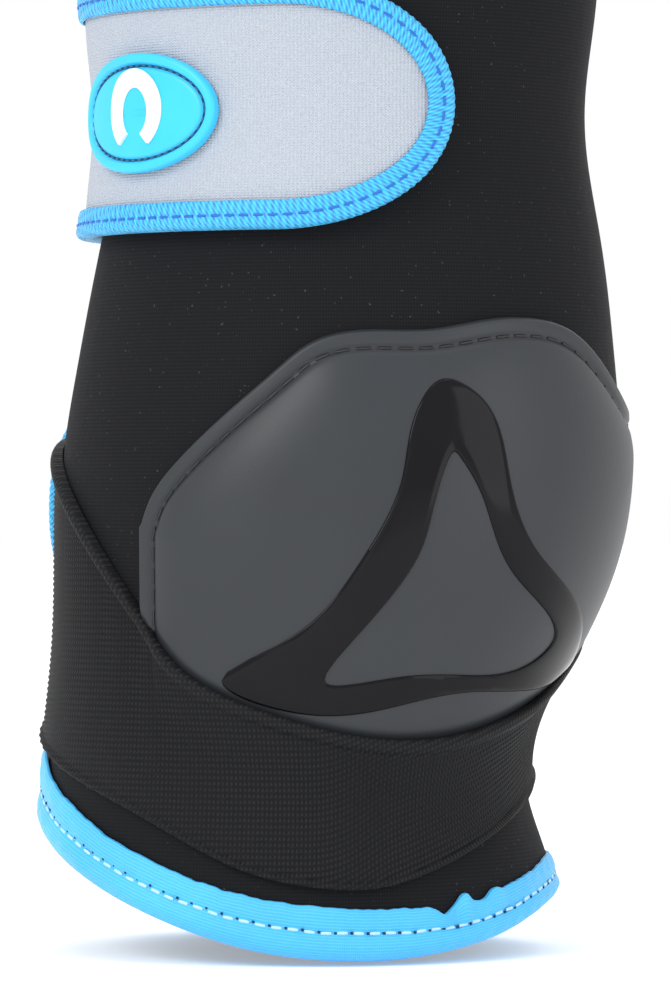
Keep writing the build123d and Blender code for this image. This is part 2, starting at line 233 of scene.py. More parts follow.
def run_of(points):
    """The length along a line from its first point to each of its points."""
    steps = np.linalg.norm(np.diff(points, axis=0), axis=1)
    return np.concatenate([[0.0], np.cumsum(steps)])


def arc_table(height, start, end, distance=2.0):
    """Angles, and the arc length from the first of them round the boot at one height."""
    angles = np.linspace(start, end, 721)
    return angles, run_of(surface(angles, height, distance))


# ------------ making meshes


def put_in_scene(name, data, location=(0, 0, 0)):
    """A new object in the scene."""
    item = bpy.data.objects.new(name, data)
    item.location = Vector(location) * MM
    bpy.context.scene.collection.objects.link(item)
    return item


def new_piece(name, points, faces, coords, sharp=40.0):
    """A mesh object from points in millimetres, with a map in millimetres for its weave."""
    mesh = bpy.data.meshes.new(name)
    mesh.from_pydata((np.asarray(points) * MM).tolist(), [], faces)
    layer = mesh.uv_layers.new(name="weave")
    loops = np.zeros(len(mesh.loops), int)
    mesh.loops.foreach_get("vertex_index", loops)
    layer.data.foreach_set("uv", (np.asarray(coords)[loops] * MM).astype(np.float32).ravel())
    edit = bmesh.new()
    edit.from_mesh(mesh)
    bmesh.ops.recalc_face_normals(edit, faces=edit.faces)
    edit.to_mesh(mesh)
    edit.free()
    mesh.shade_smooth()
    mesh.set_sharp_from_angle(angle=math.radians(sharp))
    return put_in_scene(name, mesh)


def grid_faces(rows, columns, first=0, wrap_columns=False, wrap_rows=False, flip=False):
    """Quads over a grid of points stored row by row."""
    faces = []
    for r in range(rows if wrap_rows else rows - 1):
        for c in range(columns if wrap_columns else columns - 1):
            a = first + r * columns + c
            b = first + r * columns + (c + 1) % columns
            d = first + (r + 1) % rows * columns + c
            e = first + (r + 1) % rows * columns + (c + 1) % columns
            faces.append((a, d, e, b) if flip else (a, b, e, d))
    return faces


def shell(name, outer, inner, coords, sharp=40.0):
    """A closed piece between two grids of points of one size."""
    rows, columns = outer.shape[:2]
    count = rows * columns
    faces = grid_faces(rows, columns) + grid_faces(rows, columns, count, flip=True)
    rim = [(0, c) for c in range(columns)] + [(r, columns - 1) for r in range(1, rows)]
    rim += [(rows - 1, c) for c in range(columns - 2, -1, -1)]
    rim += [(r, 0) for r in range(rows - 2, 0, -1)]
    ids = [r * columns + c for r, c in rim]
    for a, b in zip(ids, ids[1:] + ids[:1]):
        faces.append((a, b, b + count, a + count))
    points = np.concatenate([outer.reshape(-1, 3), inner.reshape(-1, 3)])
    flat = coords.reshape(-1, 2)
    return new_piece(name, points, faces, np.concatenate([flat, flat]), sharp)


def sweep(name, rings, coords, closed_path=False, sharp=40.0):
    """A closed piece from rings of points (path, section, 3), capped at open ends."""
    count, section = rings.shape[:2]
    faces = grid_faces(count, section, wrap_columns=True, wrap_rows=closed_path)
    if not closed_path:
        faces.append(tuple(range(section))[::-1])
        faces.append(tuple((count - 1) * section + i for i in range(section)))
    return new_piece(name, rings.reshape(-1, 3), faces, coords.reshape(-1, 2), sharp)


def weave_map(across, up):
    """Two measures as one map, whose last axis is across, up."""
    return np.stack(np.broadcast_arrays(across, up), -1)


def layer(name, angles, heights, outer, inner, coords, sharp=40.0):
    """A closed piece between two distances from the boot, over a grid of places."""
    return shell(name, surface(angles, heights, outer), surface(angles, heights, inner), coords, sharp)


def grid_between(angles, low, high, rows):
    """Angles and heights over an area, in even rows from its lower edge to its upper edge."""
    return np.broadcast_arrays(angles, low + (high - low) * np.linspace(0, 1, rows)[:, None])


def tape(name, section, along, angles, heights, distances):
    """A tape with one closed section, swept along a line."""
    rings = surface(angles, heights, distances)
    return sweep(name, rings, weave_map(along[:, None], run_of(section)), sharp=60)


def stitches(name, places, tangents, outward, length, width, height):
    """Short rounded threads, each laid along its tangent."""
    along, around = 5, 8
    t = np.linspace(0, math.pi, along + 2)[1:-1]
    turn = np.linspace(0, 2 * math.pi, around, endpoint=False)
    points, faces, coords = [], [], []
    side = np.cross(outward, tangents)
    for place, forward, up, across in zip(places, tangents, outward, side):
        first = len(points)
        for angle in t:
            ring = math.sin(angle) ** 0.5
            for a in turn:
                points.append(place - forward * math.cos(angle) * length / 2
                              + across * math.cos(a) * ring * width / 2
                              + up * math.sin(a) * ring * height / 2)
                coords.append((angle / math.pi * length, a * width))
        faces += grid_faces(along, around, first, wrap_columns=True)
        faces.append(tuple(first + i for i in range(around))[::-1])
        faces.append(tuple(first + (along - 1) * around + i for i in range(around)))
    return new_piece(name, points, faces, coords, 60.0)


def unit(vectors):
    return vectors / np.linalg.norm(vectors, axis=-1, keepdims=True)


def stitch_line(name, angles, heights, distances, pitch, length, width=0.55, height=0.45):
    """Threads at an even pitch along a line on the boot."""
    path = surface(angles, heights, distances)
    along = run_of(path)
    marks = np.arange(pitch / 2, along[-1], pitch)
    places, ahead, behind = (np.stack([np.interp(marks + shift, along, path[:, i]) for i in range(3)], 1)
                             for shift in (0.0, 0.3, -0.3))
    tangents = unit(ahead - behind)
    outward = places - np.array([*LEG_AXIS, 0.0])
    outward[:, 2] = 0.0
    outward = unit(outward - tangents * np.sum(outward * tangents, 1, keepdims=True))
    return stitches(name, places, tangents, outward, length, width, height)


def noise(u, v, scale, seed):
    """A smooth field of about -1 to 1, the same each run."""
    rng = np.random.default_rng(seed)
    total = np.zeros(np.broadcast(u, v).shape)
    for _ in range(7):
        a, b = rng.normal(size=2) / scale
        total = total + np.sin(a * u + b * v + rng.uniform(0, 2 * math.pi))
    return total / 3.0


# ------------ materials


class Nodes:
    """A short way to write a node material that reads the weave map in millimetres."""

    def __init__(self, name, base, roughness, **settings):
        self.material = bpy.data.materials.new(name)
        self.material.use_nodes = True
        self.tree = self.material.node_tree
        self.shader = self.tree.nodes["Principled BSDF"]
        self.shader.inputs["Base Color"].default_value = (*base, 1)
        self.shader.inputs["Roughness"].default_value = roughness
        for key, value in settings.items():
            self.shader.inputs[key.replace("_", " ")].default_value = value
        self.map = self.add("UVMap", {}, uv_map="weave")
        self.place = self.add("TexCoord", {}, "Object")

    def put(self, value, socket):
        """Links an output to a socket, or gives the socket a number, a vector or a colour."""
        if isinstance(value, bpy.types.NodeSocket):
            self.tree.links.new(value, socket)
        else:
            socket.default_value = (*value, 1) if socket.type == "RGBA" else value

    def add(self, kind, sockets, out=0, **settings):
        """A new node with those sockets filled. Returns one of its outputs."""
        node = self.tree.nodes.new("ShaderNode" + kind)
        for key, value in settings.items():
            setattr(node, key, value)
        for key, value in sockets.items():
            self.put(value, node.inputs[key])
        return node.outputs[out]

    def bands(self, across, up, axis="X", distortion=0.0, turn=0.0):
        """Bands on the weave map, with so many to the millimetre across it and up it."""
        scale = (WAVE_TURN * count * PER_MM if count else 1 for count in (across, up))
        place = self.add("Mapping", {"Scale": (*scale, 1), "Rotation": (0, 0, math.radians(turn)),
                                     "Vector": self.map})
        return self.add("TexWave", {"Scale": 1.0, "Distortion": distortion, "Vector": place}, "Fac",
                        bands_direction=axis)

    def noise(self, scale, detail=3.0):
        """Noise in the object's own space, in turns per metre."""
        return self.add("TexNoise", {"Scale": scale, "Detail": detail, "Vector": self.place}, "Fac")

    def cells(self, scale):
        return self.add("TexVoronoi", {"Scale": scale, "Vector": self.place}, "Distance")

    def math(self, kind, a, b):
        return self.add("Math", {0: a, 1: b}, operation=kind)

    def mix(self, amount, a, b):
        return self.add("Mix", {0: amount, 6: a, 7: b}, 2, data_type="RGBA")

    def ramp(self, value, *stops):
        """Colours at positions from 0 to 1."""
        out = self.add("ValToRGB", {0: value})
        band = out.node.color_ramp
        while len(band.elements) < len(stops):
            band.elements.new(0.5)
        for element, (position, colour) in zip(band.elements, stops):
            element.position = position
            element.color = (*colour, 1)
        return out

    def colour(self, value):
        self.put(value, self.shader.inputs["Base Color"])

    def rough(self, value, low, high):
        span = self.add("MapRange", {0: value, "To Min": low, "To Max": high})
        self.put(span, self.shader.inputs["Roughness"])

    def bumps(self, *layers):
        """Bump layers, each a height value and its depth in millimetres."""
        normal = {}
        for value, depth in layers:
            sockets = {"Strength": 1.0, "Distance": depth * MM, "Height": value, **normal}
            normal = {"Normal": self.add("Bump", sockets)}
        self.put(normal["Normal"], self.shader.inputs["Normal"])


PER_MM = 1 / MM
WAVE_TURN = 2 * math.pi / 20  # a wave texture's scale of 1 makes a band of 20 / 2 pi


def neoprene_material():
    m = Nodes("neoprene_knit", (0.010, 0.010, 0.012), 0.78, Specular_IOR_Level=0.12,
              Sheen_Weight=0.01, Sheen_Roughness=0.5)
    wales = m.bands(1.8, 0)
    courses = m.bands(0, 1.5, "Y")
    knit = m.math("MULTIPLY", wales, courses)
    cloud = m.noise(55, 4)
    lint = m.ramp(m.noise(1500, 1), (0.0, (0, 0, 0)), (0.735, (0, 0, 0)), (0.78, (1, 1, 1)))
    dark = m.mix(cloud, (0.004, 0.0045, 0.0055), (0.007, 0.0075, 0.009))
    dark = m.mix(knit, dark, (0.013, 0.013, 0.015))
    m.colour(m.mix(m.math("MULTIPLY", lint, 0.55), dark, (0.10, 0.10, 0.11)))
    m.rough(cloud, 0.68, 0.86)
    m.bumps((knit, 0.035), (m.noise(420, 5), 0.10), (m.noise(120, 3), 0.16))
    return m.material


def lining_material():
    m = Nodes("lining_loop", (0.03, 0.03, 0.034), 0.92, Sheen_Weight=0.25, Sheen_Roughness=0.6)
    loops = m.cells(1100)
    m.colour(m.ramp(loops, (0.0, (0.055, 0.056, 0.062)), (0.7, (0.014, 0.014, 0.017))))
    m.bumps((m.math("SUBTRACT", 1.0, loops), 0.35), (m.noise(300, 3), 0.2))
    return m.material


def hem_material():
    m = Nodes("stretch_tape", (0.045, 0.46, 0.91), 0.42, Specular_IOR_Level=0.45,
              Sheen_Weight=0.12, Sheen_Roughness=0.4)
    ribs = m.bands(0, 1.7, "Y")
    cross = m.bands(2.4, 0)
    cloud = m.noise(60, 4)
    base = m.mix(cloud, (0.030, 0.37, 0.82), (0.060, 0.50, 0.95))
    base = m.mix(m.math("MULTIPLY", ribs, 0.35), base, (0.14, 0.66, 0.98))
    m.colour(base)
    m.rough(cloud, 0.36, 0.52)
    m.bumps((ribs, 0.07), (cross, 0.03), (m.noise(260, 3), 0.12))
    return m.material


def knit_material():
    m = Nodes("strap_knit", (0.55, 0.58, 0.64), 0.88, Sheen_Weight=0.08, Sheen_Roughness=0.45)
    wales = m.bands(1.6, 0, distortion=0.3)
    courses = m.bands(0, 2.1, "Y", distortion=0.3)
    knit = m.math("MULTIPLY", wales, courses)
    cloud = m.noise(70, 4)
    fine = m.noise(2600, 2)
    base = m.mix(cloud, (0.50, 0.55, 0.61), (0.58, 0.625, 0.68))
    base = m.mix(m.math("MULTIPLY", knit, 0.6), m.mix(0.75, base, (0.26, 0.30, 0.37)), base)
    m.colour(m.mix(m.math("MULTIPLY", fine, 0.35), base, (0.72, 0.74, 0.79)))
    m.bumps((knit, 0.16), (fine, 0.05), (m.noise(200, 3), 0.15))
    return m.material


def braid_material():
    m = Nodes("braided_tape", (0.01, 0.33, 0.72), 0.48, Specular_IOR_Level=0.5,
              Sheen_Weight=0.15, Sheen_Roughness=0.35)
    rise = m.bands(0.75, 0.62)
    fibre = m.noise(3200, 3)
    ridges_and_painted_glint = m.bands(1.55, 1.5, turn=35)
    base = m.mix(rise, (0.004, 0.19, 0.56), (0.012, 0.44, 0.83))
    # painted highlight: bright cyan glints along the braid's slanted ridges are mixed into its base colour
    base = m.mix(m.math("MULTIPLY", m.math("MULTIPLY", ridges_and_painted_glint, fibre), 0.75), base,
                 (0.20, 0.80, 0.98))
    m.colour(base)
    m.rough(fibre, 0.36, 0.62)
    m.bumps((ridges_and_painted_glint, 0.10), (fibre, 0.06))
    return m.material


def elastic_material():
    m = Nodes("woven_elastic", (0.010, 0.010, 0.011), 0.62, Specular_IOR_Level=0.13,
              Sheen_Weight=0.01, Sheen_Roughness=0.5)
    ribs = m.bands(0, 0.95, "Y")
    picks = m.bands(1.25, 0.5)
    dots = m.math("MULTIPLY", ribs, picks)
    fibre = m.noise(2400, 2)
    base = m.mix(dots, (0.003, 0.003, 0.004), (0.022, 0.022, 0.024))
    m.colour(m.mix(m.math("MULTIPLY", fibre, 0.25), base, (0.030, 0.031, 0.033)))
    m.rough(fibre, 0.50, 0.72)
    m.bumps((dots, 0.22), (fibre, 0.05))
    return m.material


def pad_material():
    m = Nodes("moulded_pad", (0.03, 0.033, 0.038), 0.40, Specular_IOR_Level=0.36)
    grain = m.noise(2200, 3)
    cloud = m.noise(30, 3)
    m.colour(m.mix(cloud, (0.020, 0.023, 0.027), (0.029, 0.033, 0.038)))
    m.rough(cloud, 0.38, 0.46)
    m.bumps((grain, 0.018), (m.noise(420, 3), 0.02))
    return m.material


def gloss_material():
    m = Nodes("gloss_frame", (0.004, 0.004, 0.006), 0.07, Specular_IOR_Level=0.16)
    cloud = m.noise(80, 3)
    m.colour(m.mix(cloud, (0.003, 0.003, 0.004), (0.005, 0.005, 0.007)))
    m.rough(m.noise(900, 4), 0.06, 0.13)
    m.bumps((m.noise(60, 2), 0.05))
    return m.material


def badge_material():
    m = Nodes("badge_rubber", (0.03, 0.50, 0.90), 0.40, Specular_IOR_Level=0.45)
    cloud = m.noise(90, 3)
    m.colour(m.mix(cloud, (0.026, 0.47, 0.88), (0.040, 0.56, 0.94)))
    m.rough(cloud, 0.36, 0.46)
    m.bumps((m.noise(1800, 3), 0.02))
    return m.material


def plain_material(name, low, high, roughness, depth=0.04, scale=900, **settings):
    """Moulded or spun stuff with a fine grain and a soft change of colour."""
    m = Nodes(name, high, roughness, **settings)
    grain = m.noise(scale, 3)
    m.colour(m.mix(grain, low, high))
    m.rough(grain, roughness - 0.06, roughness + 0.06)
    m.bumps((grain, depth))
    return m.material


MATERIALS = {
    "neoprene": neoprene_material(),
    "lining": lining_material(),
    "hem_binding": hem_material(),
    "strap_fabric": knit_material(),
    "strap_binding": braid_material(),
    "elastic": elastic_material(),
    "strike_pad": pad_material(),
    "gloss_frame": gloss_material(),
    "badge": badge_material(),
    "emblem": plain_material("emblem_rubber", (0.78, 0.80, 0.82), (0.90, 0.91, 0.93), 0.42),
    "hook": plain_material("hook_tape", (0.012, 0.012, 0.014), (0.035, 0.035, 0.04), 0.5, 0.3, 1600),
    # painted shade: a dark blue for the shade inside the needle holes and the badge's stitch groove
    "painted_hole_shade": plain_material("painted_needle_hole_shade", (0.003, 0.02, 0.05), (0.006, 0.04, 0.10), 0.8),
}
for thread, dark, light, roughness in (
        ("pale_thread", (0.30, 0.58, 0.74), (0.55, 0.80, 0.92), 0.55),
        ("deep_thread", (0.004, 0.08, 0.42), (0.012, 0.16, 0.60), 0.5),
        ("black_thread", (0.004, 0.004, 0.005), (0.02, 0.02, 0.022), 0.45),
        ("deep_teal_thread", (0.004, 0.10, 0.20), (0.01, 0.17, 0.30), 0.5)):
    MATERIALS[thread] = plain_material(thread, dark, light, roughness, 0.05, 4000)


def finish_piece(piece, material, slot=None, body=None, blend=None, replaces=()):
    """Gives a piece its material, hides the CAD nodes that it stands for, and puts it under its body's
    empty, or bakes its transform where a blend is given. The slot is not used.
    """
    slot = slot or material
    piece.data.materials.append(MATERIALS[material])
    if replaces:
        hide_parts(*replaces)
    if blend:
        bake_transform(piece)
    else:
        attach(piece, body)
    return piece


# ------------ where the pieces bend

WRAP_TURN = np.array([-0.6, 0.8, 0.0])  # along the far panel, just past the back seam
WRAP_FROM, WRAP_TO = -5.0, 20.0


def wrap_blend():
    """The far panel's bend at the back seam."""
    axis = np.array([*LEG_AXIS, 0.0])
    start, end = axis + WRAP_TURN * WRAP_FROM, axis + WRAP_TURN * WRAP_TO
    return "sleeve", "far_flap", tuple(start * MM), tuple(end * MM)


def bend_at(first, second, angle, height, half_length):
    """A bend between two bodies round an angle, that far each way."""
    centre = surface(angle, height, 2.5)
    ahead = surface(angle + 1.0, height, 2.5)
    forward = unit(ahead - centre)
    start, end = centre - forward * half_length, centre + forward * half_length
    return first, second, tuple(start * MM), tuple(end * MM)


# ------------ the sleeve


HEM_TAPE = 9.8
HEM_STITCH = 5.3
IN_TAPE = 1.2  # how far the sleeve's cut edges lie inside their tapes
TAPE_REACH = 0.7  # how far the front tapes stand past the panels, in degrees


def tape_scale(angles):
    """How tall the hem tape stands, as a share of its plain height."""
    return (tape_edge(angles) - hem_edge(angles)) / HEM_TAPE


def panel_shell(name, start, end, outer, inner, lift=0.0):
    """A layer of the sleeve between two angles, from the hem to the top edge."""
    angles = np.linspace(start, end, int((end - start) / 1.4))
    grid, heights = grid_between(angles, hem_edge(angles) + IN_TAPE, top_edge(angles) - IN_TAPE, 150)
    wobble = lift * noise(grid * DEGREE, heights, 14.0, 3)
    return layer(name, grid, heights, outer + wobble, inner, weave_map(grid * DEGREE, heights))


def moved_with(side):
    """The body that the near side of the sleeve is put under, or the bend at the back seam for the far
    side.
    """
    return {"body": "sleeve"} if side == "near" else {"blend": wrap_blend()}


def make_sleeve():
    near = (CLOSURE + CLOSURE_GAP, SEAM + FULL_TURN)
    far = (SEAM, CLOSURE - CLOSURE_GAP)
    for side, (start, end) in (("near", near), ("far", far)):
        where = moved_with(side)
        piece = panel_shell(f"{side}_neoprene", start, end, 0.0, NEOPRENE_INNER, 0.14)
        finish_piece(piece, "neoprene", replaces=[f"{side}_panel"], **where)
        piece = panel_shell(f"{side}_lining_cloth", start, end, NEOPRENE_INNER, LINING_INNER)
        finish_piece(piece, "lining", replaces=[f"{side}_lining"], **where)


# The hem tape's section: distance outward, and height above the hem
HEM_SECTION = [(-7.2, 9.6), (-7.35, 7.0), (-7.2, 4.5), (-7.0, 2.2), (-6.2, 0.7), (-4.6, 0.05),
               (-2.6, -0.1), (-0.8, 0.1), (0.4, 0.65), (1.15, 1.6), (1.5, 2.7), (1.45, 3.8),
               (1.15, 4.7), (0.85, 5.3), (1.05, 5.9), (1.2, 7.0), (1.15, 8.4), (1.0, 9.3),
               (0.75, 9.8), (0.3, 9.75), (0.08, 9.2), (0.05, 6.0), (0.05, 1.6), (-0.6, 1.1),
               (-5.6, 1.1), (-6.25, 1.6), (-6.25, 6.0), (-6.3, 9.3), (-6.7, 9.75)]
PUCKER = [(298.5, 2.2, -1.3), (304.5, 2.0, 1.7), (310.5, 2.4, -0.5), (315.0, 2.5, 0.8)]


def section_points(points, per_span=2):
    """A closed section with extra points between the given ones."""
    points = np.array(points, float)
    result = []
    for i in range(len(points)):
        p0, p1, p2, p3 = (points[(i + k) % len(points)] for k in (-1, 0, 1, 2))
        for t in np.arange(per_span) / per_span:
            result.append(0.5 * (2 * p1 + (p2 - p0) * t + (2 * p0 - 5 * p1 + 4 * p2 - p3) * t * t
                                 + (3 * p1 - p0 - 3 * p2 + p3) * t ** 3))
    return np.array(result)


def pucker(angles):
    """How far the hem tape's upper edge is drawn up or down where it was gathered."""
    total = 0.0
    for centre, width, height in PUCKER:
        total = total + height * np.exp(-((angles - centre) / width) ** 2)
    return total


def hem_tape(name, start, end):
    section = section_points(HEM_SECTION)
    angles = np.arange(start, end + 0.001, (end - start) / round((end - start) / 0.7))
    low, factor = hem_edge(angles), tape_scale(angles)
    distance, rise = section.T
    ripple = 0.16 * noise(angles, 0 * angles, 2.2, 11) + 0.10 * noise(angles, 0 * angles, 0.9, 12)
    drawn = (pucker(angles) + ripple)[:, None] * np.clip((rise - HEM_STITCH) / 4.5, 0, 1) ** 1.2
    outside = (distance > 0.3) & (rise > 1.0)
    swell = np.where(outside, 0.12 * noise(angles[:, None] * 0.9, rise, 1.5, 13), 0.0)
    folds = np.where(outside & (rise > HEM_STITCH), 0.35 * np.abs(pucker(angles))[:, None], 0.0)
    heights = low[:, None] + rise * factor[:, None] + drawn
    return tape(name, section, angles * DEGREE, angles[:, None], heights, distance + swell + folds)


TOP_SECTION = [(-7.2, -6.3), (-7.3, -4.5), (-7.1, -2.2), (-6.4, -0.8), (-5.0, -0.1), (-3.0, 0.1),
               (-1.0, -0.05), (0.4, -0.7), (1.0, -1.8), (1.1, -3.2), (0.9, -4.6), (1.0, -5.6),
               (0.8, -6.35), (0.35, -6.3), (0.08, -5.8), (0.05, -1.6), (-0.7, -1.15),
               (-5.5, -1.15), (-6.25, -1.6), (-6.25, -5.8), (-6.6, -6.3)]


def top_tape(name, start, end):
    section = section_points(TOP_SECTION)
    angles = np.linspace(start, end, int(end - start))
    distance, rise = section.T
    ripple = 0.06 * noise(angles[:, None], rise, 2.0, 15)
    heights = top_edge(angles)[:, None] + rise
    return tape(name, section, angles * DEGREE, angles[:, None], heights, distance + ripple)


# A front tape's section: distance outward, and length from the closure's edge
FRONT_SECTION = [(-7.1, 6.8), (-7.2, 4.5), (-7.1, 2.0), (-6.4, 0.7), (-5.0, 0.1), (-3.0, 0.0),
                 (-1.0, 0.15), (0.0, 0.9), (0.3, 2.2), (0.3, 4.0), (0.25, 5.8), (0.15, 6.9),
                 (0.03, 6.6), (0.03, 1.8), (-0.8, 1.1), (-5.6, 1.1), (-6.22, 1.8), (-6.22, 6.6)]


def front_tape(name, side):
    """The tape down one front edge. side is 1 for the near edge and -1 for the far one."""
    section = section_points(FRONT_SECTION)
    distance, inward = section.T
    edge = CLOSURE + side * (CLOSURE_GAP - TAPE_REACH)
    heights = np.linspace(float(hem_edge(edge)) + IN_TAPE, float(top_edge(edge)) - IN_TAPE, 140)
    ripple = 0.05 * noise(heights[:, None], inward, 5.0, 17)
    return tape(name, section, heights, edge + side * inward / DEGREE, heights[:, None], distance + ripple)


def make_tapes():
    near = (CLOSURE + CLOSURE_GAP - TAPE_REACH, SEAM + FULL_TURN)
    far = (SEAM, CLOSURE - CLOSURE_GAP + TAPE_REACH)
    for side, (start, end) in (("near", near), ("far", far)):
        where = moved_with(side)
        for part, make in (("hem", hem_tape), ("top", top_tape)):
            finish_piece(make(f"{side}_{part}_tape", start, end), "hem_binding",
                         replaces=[f"{part}_binding_{side}"], **where)
        body = "sleeve" if side == "near" else "far_flap"
        piece = front_tape(f"{side}_front_tape", 1 if side == "near" else -1)
        finish_piece(piece, "hem_binding", body=body, replaces=[f"front_binding_{side}"])
        angles = np.arange(start + 1, end - 1, 0.5)
        rise = HEM_STITCH * tape_scale(angles) + 0.12 * noise(angles, 0, 3.0, 21)
        heights = hem_edge(angles) + rise
        # the threads, and dark marks in the gaps beside them that are painted shade in the needle holes
        for what, offset, size, thread in (("thread", 0.0, 2.1, "pale_thread"),
                                           ("painted_hole_shade", 1.45, 0.55, "painted_hole_shade")):
            shifted = angles + offset / DEGREE
            piece = stitch_line(f"{side}_hem_{what}", shifted, heights, 1.0, 2.9, size,
                                0.62 if what == "thread" else 0.5, 0.42)
            finish_piece(piece, thread, "hem_binding", **where)
        piece = stitch_line(f"{side}_top_thread", angles, top_edge(angles) - 4.6, 0.98, 2.9, 2.2)
        finish_piece(piece, "pale_thread", "hem_binding", **where)


def make_seam():
    """The flat seam at the back, with its two rows of thread."""
    low, high = float(hem_edge(15)) + 9.0, float(top_edge(15)) - 6.0
    heights = np.linspace(low, high, 200)
    across = np.linspace(-3.2, 3.2, 9)
    angles = SEAM + across / 0.82
    crown = 0.55 - 0.35 * (across / 3.2) ** 4 - 0.15 * np.exp(-(across / 0.5) ** 2)
    angles, rises = np.broadcast_arrays(angles, heights[:, None])
    piece = layer("back_seam", angles, rises, crown, -0.3, weave_map(across, rises))
    finish_piece(piece, "neoprene", body="sleeve")
    for row, offset in (("left", -2.0), ("right", 2.0)):
        piece = stitch_line(f"back_seam_thread_{row}", SEAM + offset / 0.82 + 0 * heights, heights,
                            0.5, 3.0, 2.2)
        finish_piece(piece, "black_thread", "neoprene", body="sleeve")


# ------------ lines on the boot


def per_degree(angle, height, distance=3.0):
    """Millimetres round the boot in one degree."""
    ahead, behind = surface(angle + 0.5, height, distance), surface(angle - 0.5, height, distance)
    return np.linalg.norm(ahead - behind, axis=-1)


def resampled(path, step, distance=3.0):
    """A line of (angle, height) with its points an even length apart."""
    path = np.asarray(path, float)
    along = run_of(surface(*path.T, distance))
    marks = np.linspace(0, along[-1], max(3, int(along[-1] / step)))
    return np.stack([np.interp(marks, along, path[:, i]) for i in (0, 1)], 1), marks


def inset(path, amount, closed=False):
    """Places to the left of a line of (angle, height). The amount may be a row for each point."""
    path = np.asarray(path, float)
    if closed:
        path = np.concatenate([path[-2:], path, path[:2]])
    angle, height = path.T
    scale = per_degree(angle, height)
    run, rise = np.gradient(angle) * scale, np.gradient(height)
    length = np.hypot(run, rise)
    keep = slice(2, -2) if closed else slice(None)
    run, rise, angle, height, scale = ((v[keep])[:, None] for v in (
        run / length, rise / length, angle, height, scale))
    amount = np.atleast_2d(amount)
    return angle - amount * rise / scale, height + amount * run


# The binding's section: length in from the strap's edge, and distance outward. The middle of the
# strap is between the two lips.
BIND_SECTION = [(4.9, 4.25), (5.05, 4.6), (4.8, 4.95), (3.6, 5.05), (2.6, 4.88), (1.6, 5.0), (0.7, 4.75),
                (0.1, 4.0), (-0.05, 2.9), (0.1, 1.7), (0.6, 0.9), (1.5, 0.6), (3.5, 0.6), (4.8, 0.7),
                (4.8, 1.15), (3.0, 1.2), (1.25, 1.35), (1.0, 2.8), (1.25, 4.15), (3.0, 4.2)]


def binding(name, path, section):
    """A braided tape folded over an edge, whose inner side is on the left of the path."""
    path, marks = resampled(path, 0.42)
    section = section_points(section)
    across = np.roll(section, -1, 0) - np.roll(section, 1, 0)
    normal = unit(np.stack([across[:, 1], -across[:, 0]], 1))
    if np.sum(normal * (section - section.mean(0))) < 0:
        normal = -normal
    outer = np.clip((section[:, 1] - section[:, 1].mean()) * 2 + 0.4, 0, 1)
    weave = np.sin(2 * math.pi * (marks[:, None] / 1.5 + np.abs(section[:, 0] - 2.5)[None, :] / 1.7))
    lift = 0.10 * weave * outer
    angle, height = inset(path, section[:, 0] + lift * normal[:, 0])
    return tape(name, section, marks, angle, height, section[:, 1] + lift * normal[:, 1])


def line_of_stitches(name, path, amount, distance, pitch, length, material, slot, where,
                     width=0.5, height=0.4):
    """Threads along a line moved to its left."""
    angle, rise = inset(resampled(path, 0.8)[0], amount)
    piece = stitch_line(name, angle[:, 0], rise[:, 0], distance, pitch, length, width, height)
    return finish_piece(piece, material, slot, **where)


def hook_patch(name, low, high, start, end, outer, inner, columns, rows):
    """A patch of hook tape between two heights and two angles."""
    grid, heights = grid_between(np.linspace(start, end, columns), low, high, rows)
    coords = weave_map((grid - start) * float(per_degree(start, low)), heights)
    hooks = np.abs(0.12 * np.sin(grid * 5.0) * np.sin(heights * 4.4))
    return layer(name, grid, heights, outer - hooks, inner, coords)


# ------------ the cannon straps

STRAP_HEIGHTS = {"lower": 65.9, "middle": 115.9, "upper": 165.9}
HALF_WIDTH = 22.2
STRAP_ROOT, STRAP_SPLIT, STRAP_PEEL = 116.0, 185.0, 250.0
STRAP_TIP_X, STRAP_ROUND = 19.4, 30.0
IN_BINDING = 1.4  # how far the padded middle's edge lies inside the binding


def strap_panel(name, height, start, end, rounded):
    """The padded middle of a strap between two angles, and whether it ends round."""
    angles, along = arc_table(height, start, end)
    inner = HALF_WIDTH - IN_BINDING
    last = along[-1] - IN_BINDING if rounded else along[-1]
    if rounded:
        turn = np.linspace(0, math.pi / 2, 34)[1:-1]
        centre = along[-1] - STRAP_ROUND
        marks = np.concatenate([np.arange(0, centre, 1.2), centre + (last - centre) * np.sin(turn)])
        share = np.clip((marks - centre) / (last - centre), 0, 1)
        half = inner * np.sqrt(1 - share ** 2)
    else:
        marks = np.linspace(0, last, int(last / 1.2))
        half = np.full(marks.shape, inner)
    across = np.linspace(-1, 1, 45)[:, None]
    place = np.interp(marks, along, angles)
    grid = np.broadcast_to(place, (45, len(marks)))
    heights = height + half * across
    from_edge = np.minimum(half * (1 - np.abs(across)), last - marks if rounded else 99)
    crown = 3.7 + 0.75 * (1 - np.exp(-np.clip(from_edge - 2.0, 0, 99) / 4.0))
    crown = crown + 0.07 * noise(marks + 0 * across, heights, 9.0, 31)
    return layer(name, grid, heights, crown, 1.32, weave_map(marks, heights))


def strap_path(height, start, tip):
    """A strap's outline from its lower edge round the tip to its upper edge."""
    angles, along = arc_table(height, start, tip)
    centre = along[-1] - STRAP_ROUND
    turn = np.linspace(-math.pi / 2, math.pi / 2, 121)
    straight = np.arange(0, centre, 1.0)
    edge = np.full(straight.shape, HALF_WIDTH)
    marks = np.concatenate([straight, centre + STRAP_ROUND * np.cos(turn), straight[::-1]])
    rises = np.concatenate([-edge, HALF_WIDTH * np.sin(turn), edge])
    return np.stack([np.interp(marks, along, angles), height + rises], 1)


def strap_tip(height):
    """The angle at which a strap ends."""
    angles = np.linspace(270, 330, 601)
    return float(np.interp(STRAP_TIP_X, surface(angles, height, 4.2)[:, 0], angles))


